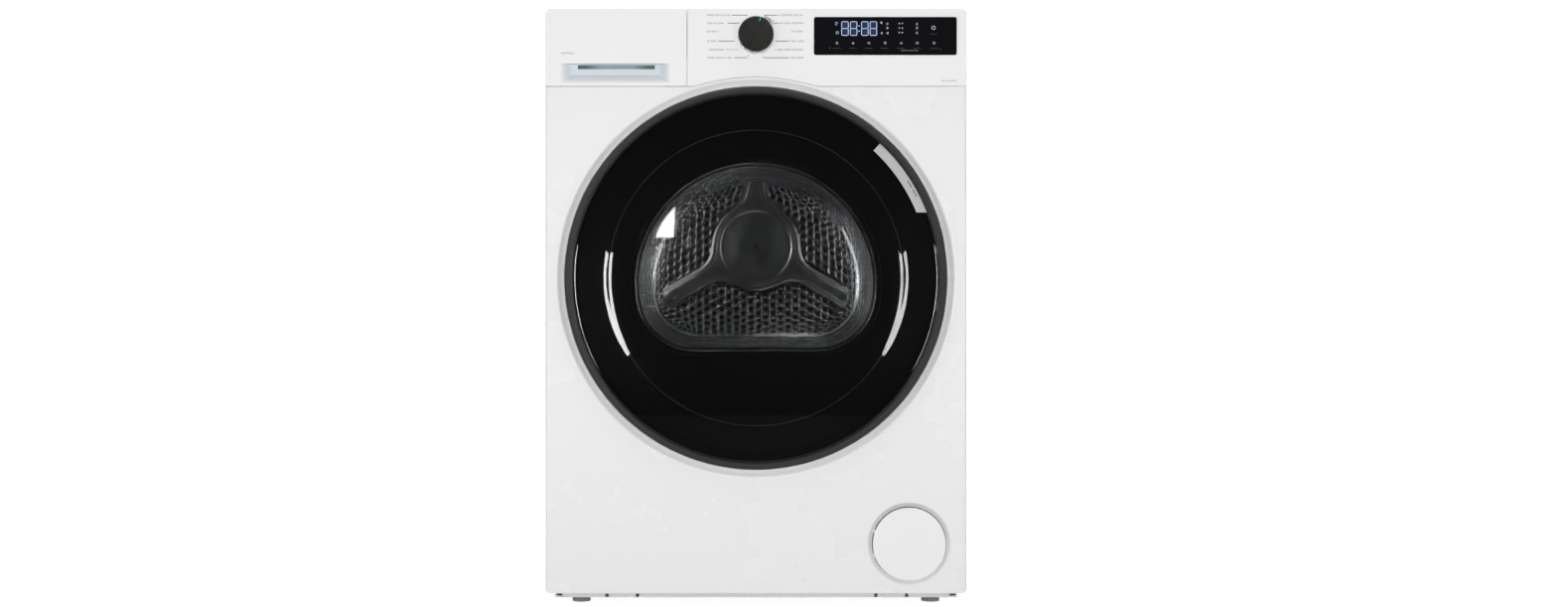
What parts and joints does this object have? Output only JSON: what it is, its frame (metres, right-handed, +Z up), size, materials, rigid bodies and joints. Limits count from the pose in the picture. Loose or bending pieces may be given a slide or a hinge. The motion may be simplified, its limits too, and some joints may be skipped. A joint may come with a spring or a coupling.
{
  "type": "clothes dryer",
  "caption": "Front-loading heat pump clothes dryer with a round glass door, rotating drum, pull-out water tank, programme knob and display.",
  "frame": {"origin": "centre of the footprint, on the floor", "axes": "+Z up, +Y to the rear, +X to the right seen from the front; the door faces -Y"},
  "size_m": [0.6, 0.585, 0.85],
  "materials": {
    "white_enamel": "smooth gloss enamel",
    "fascia_plastic": "smooth satin white",
    "worktop_laminate": "fine grain",
    "galvanised_steel": "zinc coated",
    "stainless_steel": "satin",
    "black_gloss_plastic": "satin black",
    "dark_door_glass": "polished, dark tint",
    "clear_bowl_glass": "polished",
    "display_glass": "polished black",
    "knob_black": "knurled, brushed face",
    "circuit_board": "solder mask",
    "light_plastic": "moulded",
    "dark_plastic": "moulded",
    "tank_plastic": "translucent white, moulded",
    "grey_plastic": "moulded",
    "bezel_plastic": "satin grey",
    "door_rubber": "matt",
    "roller_rubber": "matt",
    "belt_rubber": "ribbed",
    "drum_felt": "pressed felt",
    "lamp_lens": "frosted",
    "zinc_casting": "die cast",
    "fin_aluminium": "finned",
    "motor_aluminium": "cast",
    "compressor_paint": "black paint",
    "copper_pipe": "drawn copper",
    "screw_steel": "blackened",
    "foot_rubber": "moulded"
  },
  "bodies": {
    "cabinet": {"front_panel": "white_enamel", "left_side_panel": "white_enamel", "right_side_panel": "white_enamel", "rear_panel": "galvanised_steel", "rear_duct_cover": "galvanised_steel", "bearing_bracket": "galvanised_steel", "drum_bearing": "stainless_steel", "rear_air_seal": "drum_felt", "worktop": "worktop_laminate", "control_panel": "fascia_plastic", "display_window": "display_glass", "control_board": "circuit_board", "filter_shaft": "light_plastic", "tank_guide": "light_plastic", "front_bulkhead": "light_plastic", "front_drum_felt": "drum_felt", "moisture_sensor": "stainless_steel", "interior_lamp": "lamp_lens", "drum_belt": "belt_rubber", "roller_axles": "stainless_steel", "hinge_bracket": "zinc_casting", "door_lock": "dark_plastic", "hatch_bezel": "bezel_plastic", "base_tray": "dark_plastic", "plinth_rail": "light_plastic", "heat_exchanger_housing": "dark_plastic", "evaporator": "fin_aluminium", "condenser": "fin_aluminium", "motor": "motor_aluminium", "fan_housing": "grey_plastic", "compressor": "compressor_paint", "refrigerant_pipes": "copper_pipe", "condensate_pump": "grey_plastic", "power_inlet": "dark_plastic", "drain_spigot": "dark_plastic", "case_screws": "screw_steel"},
    "door": {"door_ring": "black_gloss_plastic", "door_glass": "dark_door_glass", "door_liner": "dark_plastic", "door_bowl": "clear_bowl_glass", "door_gasket": "door_rubber", "door_hinge_block": "zinc_casting", "door_hook": "zinc_casting"},
    "drum": {"drum_shell": "stainless_steel", "drum_back": "stainless_steel", "drum_lifters": "grey_plastic", "drum_shaft": "stainless_steel"},
    "left_support_roller": {"left_roller": "roller_rubber"},
    "right_support_roller": {"right_roller": "roller_rubber"},
    "rotor": {"motor_rotor": "grey_plastic"},
    "tank": {"tank_front": "fascia_plastic", "water_tank": "tank_plastic", "tank_lid": "tank_plastic"},
    "filter": {"lint_filter": "light_plastic"},
    "knob": {"programme_knob": "knob_black"},
    "hatch": {"service_hatch": "fascia_plastic"},
    "foot_front_left": {"front_left_foot": "foot_rubber"},
    "foot_front_right": {"front_right_foot": "foot_rubber"},
    "foot_rear_left": {"rear_left_foot": "foot_rubber"},
    "foot_rear_right": {"rear_right_foot": "foot_rubber"}
  },
  "joints": [
    {"name": "door_hinge", "type": "hinge", "parent": "cabinet", "child": "door", "pos_m": [0.258, -0.2755, 0.4667], "axis": [0, 0, 1], "range_deg": [0, 140]},
    {"name": "drum_spin", "type": "hinge", "parent": "cabinet", "child": "drum", "pos_m": [0, 0.0235, 0.527], "axis": [0, 1, 0], "continuous": true},
    {"name": "left_roller_spin", "type": "hinge", "parent": "cabinet", "child": "left_support_roller", "pos_m": [-0.1618, -0.1625, 0.2681], "axis": [0, 1, 0], "continuous": true},
    {"name": "right_roller_spin", "type": "hinge", "parent": "cabinet", "child": "right_support_roller", "pos_m": [0.1618, -0.1625, 0.2681], "axis": [0, 1, 0], "continuous": true},
    {"name": "rotor_spin", "type": "hinge", "parent": "cabinet", "child": "rotor", "pos_m": [0.04, 0.0635, 0.15], "axis": [0, 1, 0], "continuous": true},
    {"name": "tank_slide", "type": "slide", "parent": "cabinet", "child": "tank", "axis": [0, -1, 0], "range_m": [0, 0.42]},
    {"name": "filter_lift", "type": "slide", "parent": "cabinet", "child": "filter", "axis": [0, 0, 1], "range_m": [0, 0.02]},
    {"name": "knob_turn", "type": "hinge", "parent": "cabinet", "child": "knob", "pos_m": [0, -0.2825, 0.8115], "axis": [0, -1, 0], "continuous": true},
    {"name": "hatch_hinge", "type": "hinge", "parent": "cabinet", "child": "hatch", "pos_m": [0.1705, -0.264, 0.088], "axis": [0, 0, -1], "range_deg": [0, 100]},
    {"name": "front_left_foot_level", "type": "slide", "parent": "cabinet", "child": "foot_front_left", "axis": [0, 0, -1], "range_m": [0, 0.01]},
    {"name": "front_right_foot_level", "type": "slide", "parent": "cabinet", "child": "foot_front_right", "axis": [0, 0, -1], "range_m": [0, 0.01]},
    {"name": "rear_left_foot_level", "type": "slide", "parent": "cabinet", "child": "foot_rear_left", "axis": [0, 0, -1], "range_m": [0, 0.01]},
    {"name": "rear_right_foot_level", "type": "slide", "parent": "cabinet", "child": "foot_rear_right", "axis": [0, 0, -1], "range_m": [0, 0.01]}
  ],
  "couplings": [
    {"joint": "left_roller_spin", "follows": "drum_spin", "ratio": -14.25},
    {"joint": "right_roller_spin", "follows": "drum_spin", "ratio": -14.25},
    {"joint": "rotor_spin", "follows": "drum_spin", "ratio": 23.75}
  ]
}
